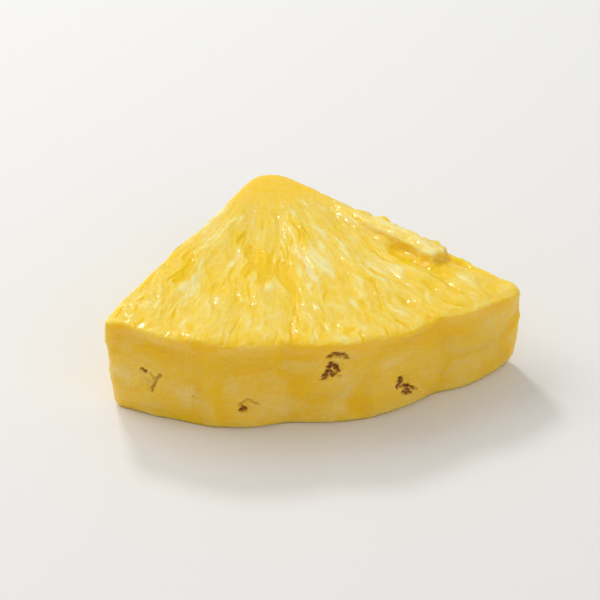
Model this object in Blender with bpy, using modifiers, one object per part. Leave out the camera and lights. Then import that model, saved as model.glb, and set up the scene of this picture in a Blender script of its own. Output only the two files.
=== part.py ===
"""A wedge of peeled pineapple, cut from a round slice of the fruit.

Metres, +Z up. The wedge lies on its lower cut face, and the origin is the middle of its box on that face.
The fruit's axis stands upright near the wedge's tip, which points to +Y, and the peeled side faces -Y.
While the wedge is shaped, the fruit's axis is at x = y = 0. The wedge is centred on the origin last.
"""

import math

import bmesh
import bpy
from mathutils import Vector, noise

NAME = "pineapple_wedge"

# The slice, and the sector cut from it.
FLESH_RADIUS = 0.0500  # the fruit's axis to the peeled side
SPREAD = math.radians(82)  # between the two straight cuts
THICKNESS = 0.0158  # of the slice, at the fruit's axis
TOP_FALL = math.tan(math.radians(2.4))  # the upper cut falls towards +X
BASE_SHARE = 0.965  # size of the base's outline beside the top's, as the sides lean in
LEAN_CENTRE = Vector((0.0, -0.030, 0.0))
TIP_SETBACK = 0.0056  # along each straight cut, where the rounding of the tip starts
CORNER_SETBACK = 0.0022  # the same for the two corners of the peeled side
EDGE_ROUNDING = 0.0011

# Flat strokes of the knife that took the rind off: bearing from -Y towards +X, and distance from the axis.
PEEL_STROKES = (
    (math.radians(-31), 0.0484),
    (math.radians(-6), 0.0474),
    (math.radians(21), 0.0480),
)

# The eyes in the middle of the fruitlets on the peeled side: bearing and depth below the upper cut.
EYES = (
    (math.radians(-31.5), 0.0085),
    (math.radians(-14.2), 0.0116),
    (math.radians(1.5), 0.0040),
    (math.radians(15.0), 0.0102),
)
# The middles of the fruitlets around them, whose eyes the cuts took away.
FRUITLETS_CUT_AWAY = (
    (math.radians(-29.0), -0.0045),
    (math.radians(-13.5), -0.0035),
    (math.radians(16.5), -0.0045),
    (math.radians(31.0), 0.0020),
    (math.radians(46.0), 0.0090),
    (math.radians(-46.0), 0.0015),
    (math.radians(-30.0), 0.0200),
    (math.radians(1.0), 0.0190),
    (math.radians(30.0), 0.0170),
)
EYE_PIT_RADIUS = 0.0020
EYE_PIT_DEPTH = 0.0006
FRUITLET_SWELL = 0.0008  # how far the middle of a fruitlet stands above its borders
FRUITLET_REACH = 0.0090  # from an eye to its fruitlet's border
BORDER_WARP, BORDER_WARP_SIZE = 0.0018, 0.0070  # how the borders wander

# The strip of fibre along the upper edge of the +X cut, and the torn hollow beside it and past its end.
STRIP_START, STRIP_END = 0.0150, 0.0356  # distances from the axis
STRIP_WIDTH = 0.0043
STRIP_HEIGHT = 0.0006
STRIP_STEP = 0.0012  # how far the blunt end takes to fall away
HOLLOW_START, HOLLOW_END = 0.0265, 0.0435
HOLLOW_WIDTH = 0.0022
HOLLOW_DEPTH = 0.0014
HOLLOW_RUN_OUT = 0.0050  # the length over which each of its ends comes up to the cut
HOLLOW_WANDER, HOLLOW_WANDER_LENGTH = 0.0010, 0.0050

# Unevenness of the cuts: the size of the waves and their height.
WAVE_LENGTH, WAVE_HEIGHT = 0.0120, 0.00040
FURROW_ARC, FURROW_LENGTH, FURROW_HEIGHT = 0.0042, 0.0180, 0.00050
CORE_RADIUS = 0.0110  # the smooth core, which has no furrows

# Mesh sizes.
RIM_SEGMENTS = 180
CORNER_SEGMENTS = 8
SHAPING_VOXEL = 0.0005
SOFTENING = 16  # rounds of smoothing of the plain blank
TRIANGLES = 6400
REST_BAND = 0.0002  # what lies this near the base is pressed flat
WELD = 1e-6
NOISE_SEED = 7  # Blender seeds its noise vectors by the clock unless it is given a seed


def smooth_step(low, high, value):
    """0 below low, 1 above high, and a smooth rise between them."""
    t = min(max((value - low) / (high - low), 0.0), 1.0)
    return t * t * (3.0 - 2.0 * t)


def hump(value, half_width):
    """1 at zero, falling smoothly to 0 at half_width either side."""
    return 1.0 - smooth_step(0.0, half_width, abs(value))


def outward(bearing):
    """The level direction at a bearing from -Y towards +X."""
    return Vector((math.sin(bearing), -math.cos(bearing), 0.0))


def polar(point):
    """Bearing and distance of a point from the fruit's axis."""
    return math.atan2(point.x, -point.y), math.hypot(point.x, point.y)


def clear_scene():
    for obj in list(bpy.data.objects):
        bpy.data.objects.remove(obj, do_unlink=True)


def flesh_material():
    material = bpy.data.materials.new("pineapple_flesh")
    material.use_nodes = True
    shader = material.node_tree.nodes["Principled BSDF"]
    shader.inputs["Base Color"].default_value = (0.90, 0.62, 0.10, 1.0)
    shader.inputs["Roughness"].default_value = 0.35
    shader.inputs["Metallic"].default_value = 0.0
    return material


def cut_off(bm, point, normal):
    """Removes what lies past a plane, on the side its normal points to, and closes the cut."""
    cut = bmesh.ops.bisect_plane(
        bm,
        geom=bm.verts[:] + bm.edges[:] + bm.faces[:],
        plane_co=point,
        plane_no=normal,
        clear_outer=True,
    )
    rim = [e for e in cut["geom_cut"] if isinstance(e, bmesh.types.BMEdge)]
    bmesh.ops.edgeloop_fill(bm, edges=rim)


def round_corner(bm, near, setback):
    """Rounds the upright edge that stands nearest to a point."""
    upright = [e for e in bm.edges if (e.verts[0].co - e.verts[1].co).xy.length < WELD]
    corner = min(upright, key=lambda e: (e.verts[0].co - near).xy.length)
    bmesh.ops.bevel(
        bm,
        geom=[corner],
        offset=setback,
        segments=CORNER_SEGMENTS,
        profile=0.5,
        affect="EDGES",
        material=-1,
    )


def sector_prism():
    """An upright prism of the wedge's outline, with its three corners rounded."""
    bm = bmesh.new()
    bmesh.ops.create_cone(
        bm,
        cap_ends=True,
        segments=RIM_SEGMENTS,
        radius1=FLESH_RADIUS,
        radius2=FLESH_RADIUS,
        depth=THICKNESS,
    )
    bmesh.ops.translate(bm, verts=bm.verts[:], vec=(0, 0, THICKNESS / 2))
    for side in (-1, 1):
        along = outward(side * SPREAD / 2)
        cut_off(bm, Vector(), Vector((-along.y, along.x, 0.0)) * side)
    for bearing, distance in PEEL_STROKES:
        cut_off(bm, outward(bearing) * distance, outward(bearing))
    for side in (-1, 1):
        round_corner(bm, outward(side * SPREAD / 2) * FLESH_RADIUS, CORNER_SETBACK)
    round_corner(bm, Vector(), TIP_SETBACK)
    return bm


def sector_blank():
    """The wedge with plain cuts: its sides lean, its top falls to +X and its edges are rounded."""
    bm = sector_prism()
    for vertex in bm.verts:
        if vertex.co.z > THICKNESS / 2:
            vertex.co.z -= vertex.co.x * TOP_FALL
        else:
            vertex.co.xy = LEAN_CENTRE.xy + (vertex.co.xy - LEAN_CENTRE.xy) * BASE_SHARE
    sharp = [e for e in bm.edges if e.calc_face_angle(0.0) > math.radians(35)]
    bmesh.ops.bevel(
        bm, geom=sharp, offset=EDGE_ROUNDING, segments=3, profile=0.5, affect="EDGES", material=-1
    )
    bmesh.ops.recalc_face_normals(bm, faces=bm.faces[:])
    mesh = bpy.data.meshes.new(NAME)
    bm.to_mesh(mesh)
    bm.free()
    return mesh


def fruitlet_middles():
    """Arc and height of each fruitlet's middle, with the bearing as a length along the peeled side."""
    return [(b * FLESH_RADIUS, THICKNESS - depth) for b, depth in EYES + FRUITLETS_CUT_AWAY]


def peel_relief(bearing, height, middles):
    """How far the peeled side stands out: swollen fruitlets with a shallow pit at each eye."""
    arc = bearing * FLESH_RADIUS
    warp = noise.noise_vector(Vector((arc, height, 0.0)) / BORDER_WARP_SIZE) * BORDER_WARP
    straight = min(math.hypot(arc - x, height - z) for x, z in middles[: len(EYES)])
    gaps = sorted(math.hypot(arc + warp.x - x, height + warp.y - z) for x, z in middles)
    swell = FRUITLET_SWELL * hump(gaps[0], FRUITLET_REACH)
    border = 0.35 * FRUITLET_SWELL * hump(gaps[1] - gaps[0], 0.5 * FRUITLET_REACH)
    return swell - border - EYE_PIT_DEPTH * hump(straight, EYE_PIT_RADIUS)


def furrow_relief(bearing, distance):
    """Radial furrows between the bundles of fibre on the upper cut."""
    arc = bearing * FLESH_RADIUS * 0.6
    spot = Vector((arc / FURROW_ARC, distance / FURROW_LENGTH, 3.7))
    return FURROW_HEIGHT * noise.noise(spot) * smooth_step(0.8, 1.6, distance / CORE_RADIUS)


def strip_relief(bearing, distance):
    """The strip along the +X cut's upper edge, and the hollow that wanders beside it and ends past it."""
    from_cut = distance * math.sin(SPREAD / 2 - bearing)
    along = (distance - STRIP_START) / (STRIP_END - STRIP_START)
    ends = 1.0 - smooth_step(STRIP_END, STRIP_END + STRIP_STEP, distance)
    width = STRIP_WIDTH * smooth_step(0.0, 0.6, along)
    wander = HOLLOW_WANDER * noise.noise(Vector((distance / HOLLOW_WANDER_LENGTH, 0.5, 0.5)))
    ridge = smooth_step(0.0, 0.5, along) * ends * (1.0 - smooth_step(0.7, 1.0, from_cut / STRIP_WIDTH))
    beside = hump(from_cut - width - 0.5 * HOLLOW_WIDTH + wander, HOLLOW_WIDTH)
    past = (1.0 - ends) * (1.0 - smooth_step(0.0, HOLLOW_WIDTH, from_cut - width))
    there = smooth_step(HOLLOW_START, HOLLOW_START + HOLLOW_RUN_OUT, distance)
    there *= 1.0 - smooth_step(HOLLOW_END - HOLLOW_RUN_OUT, HOLLOW_END, distance)
    return STRIP_HEIGHT * ridge - HOLLOW_DEPTH * there * max(beside, 0.7 * past)


def relief(point, normal, middles):
    """How far the real surface stands out of the plain blank at a point."""
    bearing, distance = polar(point)
    on_top = smooth_step(0.45, 0.85, normal.z)
    on_base = smooth_step(0.45, 0.85, -normal.z)
    on_peel = smooth_step(0.5, 0.85, normal.dot(outward(bearing)))
    on_peel *= smooth_step(0.80, 0.90, distance / FLESH_RADIUS)
    height = WAVE_HEIGHT * noise.noise(point / WAVE_LENGTH) * (1.0 - on_base)
    height += on_top * (furrow_relief(bearing, distance) + strip_relief(bearing, distance))
    height += on_peel * peel_relief(bearing, point.z, middles)
    return height


def modified(mesh, *modifiers):
    """A new mesh, which is the old one with modifiers applied, each given as its type and settings."""
    carrier = bpy.data.objects.new("carrier", mesh)
    bpy.context.scene.collection.objects.link(carrier)
    for kind, settings in modifiers:
        modifier = carrier.modifiers.new(kind.lower(), kind)
        for setting, value in settings.items():
            setattr(modifier, setting, value)
    graph = bpy.context.evaluated_depsgraph_get()
    result = bpy.data.meshes.new_from_object(carrier.evaluated_get(graph))
    bpy.data.objects.remove(carrier, do_unlink=True)
    return result


def add_relief(mesh):
    """Moves every point along its normal by the relief there."""
    middles = fruitlet_middles()
    normals = [vertex.normal.copy() for vertex in mesh.vertices]
    for vertex, normal in zip(mesh.vertices, normals):
        vertex.co += normal * relief(vertex.co, normal, middles)


def press_base(mesh):
    """Makes the base one flat face, at height 0."""
    for vertex in mesh.vertices:
        if vertex.co.z < REST_BAND:
            vertex.co.z = 0.0


def centre_on_base(mesh):
    """Moves the mesh so that the middle of its box, on the base, is the origin."""
    xs = [vertex.co.x for vertex in mesh.vertices]
    ys = [vertex.co.y for vertex in mesh.vertices]
    middle = Vector((min(xs) + max(xs), min(ys) + max(ys), 0.0)) / 2
    for vertex in mesh.vertices:
        vertex.co -= middle


def wedge_mesh():
    """The blank in small even faces, shaped by the relief and then thinned to fewer triangles."""
    even = ("REMESH", {"mode": "VOXEL", "voxel_size": SHAPING_VOXEL})
    soften = ("SMOOTH", {"factor": 0.5, "iterations": SOFTENING})
    fine = modified(sector_blank(), even, soften)
    add_relief(fine)
    press_base(fine)
    triangles = sum(len(polygon.vertices) - 2 for polygon in fine.polygons)
    mesh = modified(fine, ("DECIMATE", {"ratio": TRIANGLES / triangles}))
    press_base(mesh)
    centre_on_base(mesh)
    return mesh


def build_wedge():
    mesh = wedge_mesh()
    mesh.materials.append(flesh_material())
    mesh.shade_smooth()
    wedge = bpy.data.objects.new(NAME, mesh)
    collection = bpy.data.collections.new("pineapple")
    bpy.context.scene.collection.children.link(collection)
    collection.objects.link(wedge)


clear_scene()
noise.seed_set(NOISE_SEED)
build_wedge()
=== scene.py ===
"""A wedge of peeled pineapple: wet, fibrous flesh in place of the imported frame's plain solid.

Metres, +Z up, in the frame's coordinates. While the flesh is shaped the fruit's axis stands at x = y = 0,
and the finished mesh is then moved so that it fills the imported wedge's box. A bearing is measured around the
fruit's axis from -Y, the middle of the peeled side, towards +X. A depth is measured down from the upper cut.
"""

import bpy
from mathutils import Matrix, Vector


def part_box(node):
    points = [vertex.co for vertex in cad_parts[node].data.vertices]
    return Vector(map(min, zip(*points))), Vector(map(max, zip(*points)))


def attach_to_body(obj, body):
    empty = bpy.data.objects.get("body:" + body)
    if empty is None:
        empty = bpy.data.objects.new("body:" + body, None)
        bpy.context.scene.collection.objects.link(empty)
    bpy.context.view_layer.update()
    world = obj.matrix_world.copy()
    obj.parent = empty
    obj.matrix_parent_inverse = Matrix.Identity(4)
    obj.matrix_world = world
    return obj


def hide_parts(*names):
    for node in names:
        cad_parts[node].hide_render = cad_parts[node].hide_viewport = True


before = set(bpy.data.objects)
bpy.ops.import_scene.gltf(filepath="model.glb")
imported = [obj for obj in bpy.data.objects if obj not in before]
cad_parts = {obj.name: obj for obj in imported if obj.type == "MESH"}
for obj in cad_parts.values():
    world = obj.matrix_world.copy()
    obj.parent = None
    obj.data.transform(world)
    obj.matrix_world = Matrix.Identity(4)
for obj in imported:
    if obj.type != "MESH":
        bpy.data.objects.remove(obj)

import copy
import logging
import math
import random
from collections.abc import Iterable
from dataclasses import dataclass, field
from enum import Enum
from functools import cached_property

import bmesh
import bpy
from bmesh.types import BMEdge, BMesh
from bpy.types import Material, Mesh, Node, NodeSocket, Object
from mathutils import Color, Matrix, Vector, noise
from mathutils.bvhtree import BVHTree

log = logging.getLogger("pineapple")

NODE = "pineapple_wedge"
BODY = "root"
MM = 0.001
ARC_RADIUS = 30 * MM
"""How far from the fruit's axis the fibres and cells, which widen outwards, have their stated width."""

NOISE_SEED = 7
"""Blender seeds its noise vectors by the clock unless it is given a seed."""

Colour = tuple[float, float, float]


def smooth_step(low: float, high: float, value: float) -> float:
    """Returns 0 below low, 1 above high, and a smooth rise between them."""
    t = min(max((value - low) / (high - low), 0.0), 1.0)
    return t * t * (3.0 - 2.0 * t)


def hump(value: float, half_width: float) -> float:
    """Returns 1 at zero, falling smoothly to 0 at half_width either side."""
    return 1.0 - smooth_step(0.0, half_width, abs(value))


def outward(bearing: float) -> Vector:
    """Returns the level direction at a bearing."""
    return Vector((math.sin(bearing), -math.cos(bearing), 0.0))


def sideways(bearing: float) -> Vector:
    """Returns the level direction in which bearings rise, at a right angle to outward()."""
    out = outward(bearing)
    return Vector((-out.y, out.x, 0.0))


def linear(red: int, green: int, blue: int) -> Colour:
    """Converts a screen colour to the linear values that a shader takes.

    Args:
        red, green, blue: The colour, each from 0 to 255.

    Returns:
        The three linear values.
    """
    return tuple(Color((red / 255, green / 255, blue / 255)).from_srgb_to_scene_linear())


def mesh_of(name: str, bm: BMesh) -> Mesh:
    """Makes a mesh of a bmesh, which is freed.

    Args:
        name: The mesh's name.
        bm: The bmesh.

    Returns:
        The mesh.
    """
    mesh = bpy.data.meshes.new(name)
    bm.to_mesh(mesh)
    bm.free()
    return mesh


def placed(name: str, data: bpy.types.ID) -> Object:
    """Makes an object and puts it in the scene.

    Args:
        name: The object's name.
        data: Its mesh, light or camera.

    Returns:
        The object.
    """
    thing = bpy.data.objects.new(name, data)
    bpy.context.scene.collection.objects.link(thing)
    return thing


class Slot(Enum):
    """The material slots, by name."""

    FLESH = "pineapple_flesh"
    EYE = "pineapple_eye"


# ----------------------------------------
# Sizes


@dataclass(frozen=True)
class SliceSizes:
    """The slice and the sector cut from it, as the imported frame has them."""

    radius: float = 0.0500
    spread: float = math.radians(82)
    thickness: float = 0.0158
    top_fall: float = math.tan(math.radians(2.4))
    base_share: float = 0.965
    lean_y: float = -0.030
    tip_setback: float = 0.0056
    corner_setback: float = 0.0022
    edge_rounding: float = 0.0009
    core_radius: float = 0.0110
    strokes: tuple[tuple[float, float], ...] = (
        (math.radians(-31), 0.0484),
        (math.radians(-6), 0.0474),
        (math.radians(21), 0.0480),
    )

    def top_at(self, x: float) -> float:
        """Returns the height of the upper cut over a place."""
        return self.thickness - x * self.top_fall


@dataclass(frozen=True)
class StripSizes:
    """The strip of fibre along the +X cut's upper edge, and the torn hollow beside it and past its end."""

    start: float = 0.0150
    end: float = 0.0356
    width: float = 0.0043
    height: float = 0.0006
    step: float = 0.0012
    hollow_start: float = 0.0265
    hollow_end: float = 0.0435
    hollow_run_out: float = 0.0050
    hollow_width: float = 0.0022
    hollow_depth: float = 0.0014
    wander: float = 0.0010
    wander_length: float = 0.0050
    fray: float = 0.0009
    fray_size: float = 0.0011


@dataclass(frozen=True)
class PeelSizes:
    """The fruitlets of the peeled side: bearing in degrees and depth in millimetres of each middle."""

    eyes: tuple[tuple[float, float], ...] = ((-31.5, 8.5), (-14.2, 11.6), (1.5, 4.0), (15.0, 10.2))
    cut_away: tuple[tuple[float, float], ...] = (
        (-29.0, -4.5),
        (-13.5, -3.5),
        (16.5, -4.5),
        (31.0, 2.0),
        (46.0, 9.0),
        (-46.0, 1.5),
        (-30.0, 20.0),
        (1.0, 19.0),
        (30.0, 17.0),
    )
    pit_radius: float = 0.0020
    pit_depth: float = 0.0006
    swell: float = 0.0008
    reach: float = 0.0090
    warp: float = 0.0018
    warp_size: float = 0.0070


@dataclass(frozen=True)
class Patch:
    """A juicy or a pale place, or a film of juice. On the upper cut its length runs along the fibres."""

    bearing: float  # degrees
    distance: float  # millimetres from the fruit's axis
    half_width: float  # millimetres
    half_length: float  # millimetres
    strength: float  # above 0 juicy, below 0 pale


@dataclass(frozen=True)
class Scatter:
    """How small patches are scattered over the upper cut, in millimetres."""

    count: int
    reach: float  # from the fruit's axis
    area: tuple[float, float]  # the least and the largest share of the area within the reach
    half_widths: tuple[float, float]
    half_lengths: tuple[float, float]

    def distance(self, dice: random.Random) -> float:
        """Draws a distance from the fruit's axis, so that the patches are spread evenly."""
        return self.reach * math.sqrt(dice.uniform(*self.area))

    def size(self, dice: random.Random) -> tuple[float, float]:
        """Draws a half width and a half length."""
        return dice.uniform(*self.half_widths), dice.uniform(*self.half_lengths)


@dataclass(frozen=True)
class Mark:
    """A brown stroke at an eye. Each end is a bearing in degrees and a depth in millimetres."""

    start: tuple[float, float]
    end: tuple[float, float]
    width: float  # millimetres
    sunk: float  # millimetres
    stain: float  # 0 to 1
    olive: float = 0.0  # 0 reddish brown, 1 olive


# Juicy and pale places on the upper cut. Two of the pale ones are painted highlights, not pale fibre; each is
# marked.
PATCHES = (
    Patch(-21.0, 21.2, 0.9, 2.6, 0.75),
    Patch(-15.3, 24.4, 1.8, 2.2, 0.90),
    Patch(-11.5, 28.5, 2.6, 5.5, 1.05),
    Patch(-4.2, 30.5, 1.5, 5.5, 1.05),
    Patch(-32.5, 31.5, 1.1, 5.5, 1.00),
    Patch(-35.0, 27.5, 0.8, 3.0, 0.50),
    Patch(4.8, 22.2, 0.6, 3.6, 0.45),
    Patch(18.6, 28.5, 0.7, 4.0, 0.30),
    Patch(-29.3, 32.0, 0.9, 5.5, -0.90),
    Patch(-22.4, 28.0, 0.9, 5.0, -0.55),
    Patch(5.0, 28.0, 4.2, 7.0, -0.30),
    Patch(16.0, 25.0, 3.0, 6.0, -0.18),
    # Painted highlight: this pale patch paints the highlight along the -X cut's upper edge into the flesh's
    # colour.
    Patch(-37.0, 16.7, 1.2, 6.0, -0.45),
    Patch(-32.0, 22.5, 1.0, 7.0, -0.45),
    Patch(-8.8, 32.5, 0.7, 3.0, -0.70),
    Patch(3.0, 29.0, 0.8, 5.0, -0.90),
    Patch(7.6, 28.3, 1.0, 5.5, -1.00),
    # Painted highlight: this thin pale streak paints a glint of the wet cut into the flesh's colour.
    Patch(14.1, 21.0, 0.5, 3.0, -0.70),
    Patch(18.7, 32.6, 0.6, 4.0, -0.70),
    Patch(24.0, 32.0, 2.4, 5.0, -0.55),
    Patch(38.0, 18.5, 1.3, 4.5, -0.60),
)

MARKS = (
    Mark((0.6, 2.5), (1.6, 1.9), 0.44, 0.35, 0.72, 0.8),
    Mark((1.6, 1.9), (2.8, 1.9), 0.50, 0.40, 0.80, 0.8),
    Mark((2.8, 1.9), (3.7, 2.4), 0.44, 0.30, 0.66, 1.0),
    Mark((1.6, 2.5), (2.6, 2.5), 0.34, 0.20, 0.40, 1.0),
    Mark((-0.1, 6.1), (0.4, 5.2), 0.44, 0.35, 0.92),
    Mark((0.6, 4.5), (1.2, 3.9), 0.42, 0.30, 0.84),
    Mark((1.7, 4.1), (2.1, 4.9), 0.38, 0.30, 0.84),
    Mark((1.2, 5.8), (1.8, 5.7), 0.36, 0.25, 0.88),
    Mark((0.9, 4.9), (1.3, 5.3), 0.36, 0.20, 0.74),
    Mark((-0.7, 6.7), (-0.4, 6.5), 0.26, 0.20, 0.60),
    Mark((2.5, 6.1), (2.7, 5.9), 0.24, 0.20, 0.50),
    Mark((2.7, 4.4), (2.8, 4.5), 0.20, 0.10, 0.40),
    Mark((13.9, 8.5), (14.2, 9.7), 0.52, 0.40, 1.00),
    Mark((14.2, 9.7), (13.4, 9.8), 0.42, 0.30, 0.95),
    Mark((14.8, 10.4), (15.7, 10.5), 0.36, 0.35, 0.92),
    Mark((14.7, 11.2), (15.3, 11.7), 0.34, 0.30, 0.92),
    Mark((15.3, 11.7), (16.4, 11.9), 0.34, 0.25, 0.84),
    Mark((16.3, 10.8), (17.0, 11.3), 0.30, 0.25, 0.76),
    Mark((15.4, 11.0), (15.9, 11.3), 0.34, 0.20, 0.80),
    Mark((17.6, 11.6), (17.7, 11.7), 0.20, 0.10, 0.50),
    Mark((-15.1, 12.6), (-14.3, 12.4), 0.38, 0.40, 0.96, 0.4),
    Mark((-14.9, 12.0), (-14.6, 11.9), 0.24, 0.25, 0.70, 0.6),
    Mark((-15.1, 11.6), (-13.9, 10.3), 0.34, 0.25, 0.36, 1.0),
    Mark((-13.9, 10.3), (-12.1, 11.3), 0.34, 0.25, 0.36, 1.0),
    Mark((-32.7, 7.1), (-32.0, 7.4), 0.38, 0.35, 0.70, 0.8),
    Mark((-31.1, 7.5), (-30.3, 8.8), 0.26, 0.30, 0.38, 1.0),
    Mark((-29.3, 7.4), (-30.3, 8.8), 0.34, 0.30, 0.50, 1.0),
    Mark((-30.3, 8.8), (-31.1, 11.0), 0.30, 0.30, 0.44, 1.0),
    Mark((-40.0, 11.3), (-39.8, 11.7), 0.24, 0.15, 0.55, 0.5),
    Mark((-23.6, 10.4), (-23.4, 10.6), 0.18, 0.10, 0.40, 0.5),
    Mark((-9.8, 5.0), (-9.6, 5.1), 0.18, 0.10, 0.35, 0.5),
    Mark((7.1, 7.0), (7.2, 7.1), 0.16, 0.10, 0.35, 0.5),
)

PATCH_REACH = 1.3
"""How far along the fibres a patch is felt, as a share of its half length."""

FLECKS = Scatter(190, 48.0, (0.06, 1.0), (0.24, 0.5), (0.9, 3.0))
"""Short juicy and pale streaks, besides the patches above."""

FLECK_STRENGTH = (0.25, 0.75)
FLECK_SIGNS = (-1, -1, -1, 1, 1)
"""Three streaks in five are pale."""

FILMS = Scatter(110, 46.0, (0.07, 1.0), (0.20, 0.32), (0.4, 1.2))
"""Small films of juice that stand on the cut."""

PEEL_PATCHES = (
    Patch(-18.8, 9.5, 1.0, 5.5, 0.75),
    Patch(-3.4, 8.2, 2.6, 2.4, 0.60),
    Patch(-21.5, 0.9, 2.6, 0.9, 0.80),
    Patch(23.5, 3.2, 4.6, 0.9, 0.85),
    Patch(-9.0, 2.6, 7.0, 0.8, 0.55),
    Patch(6.5, 12.0, 2.4, 2.6, 0.50),
    Patch(-36.0, 9.5, 2.2, 3.2, -0.45),
    Patch(-24.5, 11.0, 2.8, 3.2, -0.60),
    Patch(-8.0, 12.4, 4.2, 2.6, -0.45),
    Patch(3.5, 8.6, 2.6, 3.6, -0.40),
    Patch(11.0, 4.8, 3.0, 1.4, -0.35),
    Patch(28.0, 8.0, 4.0, 2.6, -0.35),
)
"""Places on the peeled side, with their depth as the distance and their length down the side."""

NOTCHES = (
    (14.5, 0.25, 0.6),
    (18.0, 0.30, 0.8),
    (21.9, 0.40, 0.8),
    (23.6, -0.45, 0.8),
    (27.0, 0.45, 0.7),
    (28.6, 0.35, 0.6),
    (31.0, 0.55, 0.9),
    (34.0, -0.35, 1.0),
)
"""Each notch in the +X cut's upper edge: distance from the fruit's axis, depth and half length, in mm."""


# ----------------------------------------
# The plain wedge


ROUND = {"profile": 0.5, "affect": "EDGES", "material": -1}
"""The settings that every bevel shares."""


def cut_off(bm: BMesh, point: Vector, normal: Vector) -> None:
    """Removes what lies past a plane and closes the cut.

    Args:
        bm: The mesh to cut.
        point: A point on the plane.
        normal: The plane's normal, towards the side that goes.
    """
    geom = bm.verts[:] + bm.edges[:] + bm.faces[:]
    cut = bmesh.ops.bisect_plane(bm, geom=geom, plane_co=point, plane_no=normal, clear_outer=True)
    rim = [e for e in cut["geom_cut"] if isinstance(e, BMEdge)]
    bmesh.ops.edgeloop_fill(bm, edges=rim)


@dataclass
class Blank:
    """The wedge with plain cuts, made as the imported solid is."""

    sizes: SliceSizes = SliceSizes()
    rim_segments: int = 180
    corner_segments: int = 8
    weld: float = 1e-6
    sharp_angle: float = math.radians(35)

    def round_corner(self, bm: BMesh, near: Vector, setback: float) -> None:
        """Rounds the upright edge nearest to a point.

        Args:
            bm: The mesh to change.
            near: A point by the edge.
            setback: How far from the edge the rounding starts.
        """
        upright = [e for e in bm.edges if (e.verts[0].co - e.verts[1].co).xy.length < self.weld]
        corner = min(upright, key=lambda e: (e.verts[0].co - near).xy.length)
        bmesh.ops.bevel(bm, geom=[corner], offset=setback, segments=self.corner_segments, **ROUND)

    def prism(self) -> BMesh:
        """Builds an upright prism of the wedge's outline.

        Returns:
            The prism, with its three corners rounded.
        """
        s = self.sizes
        bm = bmesh.new()
        bmesh.ops.create_cone(
            bm,
            cap_ends=True,
            segments=self.rim_segments,
            radius1=s.radius,
            radius2=s.radius,
            depth=s.thickness,
        )
        bmesh.ops.translate(bm, verts=bm.verts[:], vec=(0, 0, s.thickness / 2))
        for side in (-1, 1):
            cut_off(bm, Vector(), sideways(side * s.spread / 2) * side)
        for bearing, distance in s.strokes:
            cut_off(bm, outward(bearing) * distance, outward(bearing))
        for side in (-1, 1):
            self.round_corner(bm, outward(side * s.spread / 2) * s.radius, s.corner_setback)
        self.round_corner(bm, Vector(), s.tip_setback)
        return bm

    def mesh(self) -> Mesh:
        """Leans the prism's sides, tilts its top and rounds its edges.

        Returns:
            The plain wedge.
        """
        s = self.sizes
        bm = self.prism()
        centre = Vector((0.0, s.lean_y))
        for vertex in bm.verts:
            if vertex.co.z > s.thickness / 2:
                vertex.co.z = s.top_at(vertex.co.x)
            else:
                vertex.co.xy = centre + (vertex.co.xy - centre) * s.base_share
        sharp = [e for e in bm.edges if e.calc_face_angle(0.0) > self.sharp_angle]
        bmesh.ops.bevel(bm, geom=sharp, offset=s.edge_rounding, segments=3, **ROUND)
        bmesh.ops.recalc_face_normals(bm, faces=bm.faces[:])
        return mesh_of("blank", bm)


def evened(mesh: Mesh, voxel: float, rounds: int) -> Mesh:
    """Rebuilds a mesh in small even faces and softens it.

    Args:
        mesh: The mesh to start from.
        voxel: The size of the faces.
        rounds: How many times they are smoothed.

    Returns:
        A new mesh.
    """
    carrier = placed("carrier", mesh)
    even = carrier.modifiers.new("even", "REMESH")
    even.mode = "VOXEL"
    even.voxel_size = voxel
    soften = carrier.modifiers.new("soften", "SMOOTH")
    soften.factor = 0.5
    soften.iterations = rounds
    graph = bpy.context.evaluated_depsgraph_get()
    result = bpy.data.meshes.new_from_object(carrier.evaluated_get(graph))
    bpy.data.objects.remove(carrier, do_unlink=True)
    return result


# ----------------------------------------
# The surface


LEVEL = (0.45, 0.85)
"""How much of a normal points up or down where a level face starts, and where the face is whole."""

FACING = (0.5, 0.85)
"""The same for the peeled side, outwards."""

FAR = (0.80, 0.90)
"""Where the peeled side starts and is whole, as shares of the radius."""

LIFTED = (0.2 * MM, 1.6 * MM)
"""The heights between which the fine relief fades in, so that the wedge rests on a flat base."""


class Spot:
    """Where a point of the surface lies on the wedge, and which of its faces it belongs to."""

    __slots__ = ("point", "bearing", "distance", "depth", "top", "base", "peel", "lift")

    def __init__(self, point: Vector, normal: Vector, sizes: SliceSizes) -> None:
        """Measures a point.

        Args:
            point: The point, with the fruit's axis at x = y = 0.
            normal: The surface's normal there.
            sizes: The slice's sizes.
        """
        self.point = point
        self.bearing = math.atan2(point.x, -point.y)
        self.distance = math.hypot(point.x, point.y)
        self.depth = sizes.top_at(point.x) - point.z
        self.top = smooth_step(*LEVEL, normal.z)
        self.base = smooth_step(*LEVEL, -normal.z)
        facing = normal.dot(outward(self.bearing))
        self.peel = smooth_step(*FACING, facing) * smooth_step(*FAR, self.distance / sizes.radius)
        self.lift = smooth_step(*LIFTED, point.z)

    def turned(self, bearing: float) -> "Spot":
        """Copies the place.

        Args:
            bearing: The copy's bearing.

        Returns:
            The same place with that bearing.
        """
        spot = copy.copy(self)
        spot.bearing = bearing
        return spot


@dataclass
class Torn:
    """What the strip along the +X cut and its hollow are at one place."""

    height: float = 0.0
    strip: float = 0.0  # how much of it is strip, 0 to 1
    hollow: float = 0.0  # how much of it is hollow, 0 to 1
    ridge: float = 0.0  # 1 on the strip's pale inner ridge and the wall below it


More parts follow.
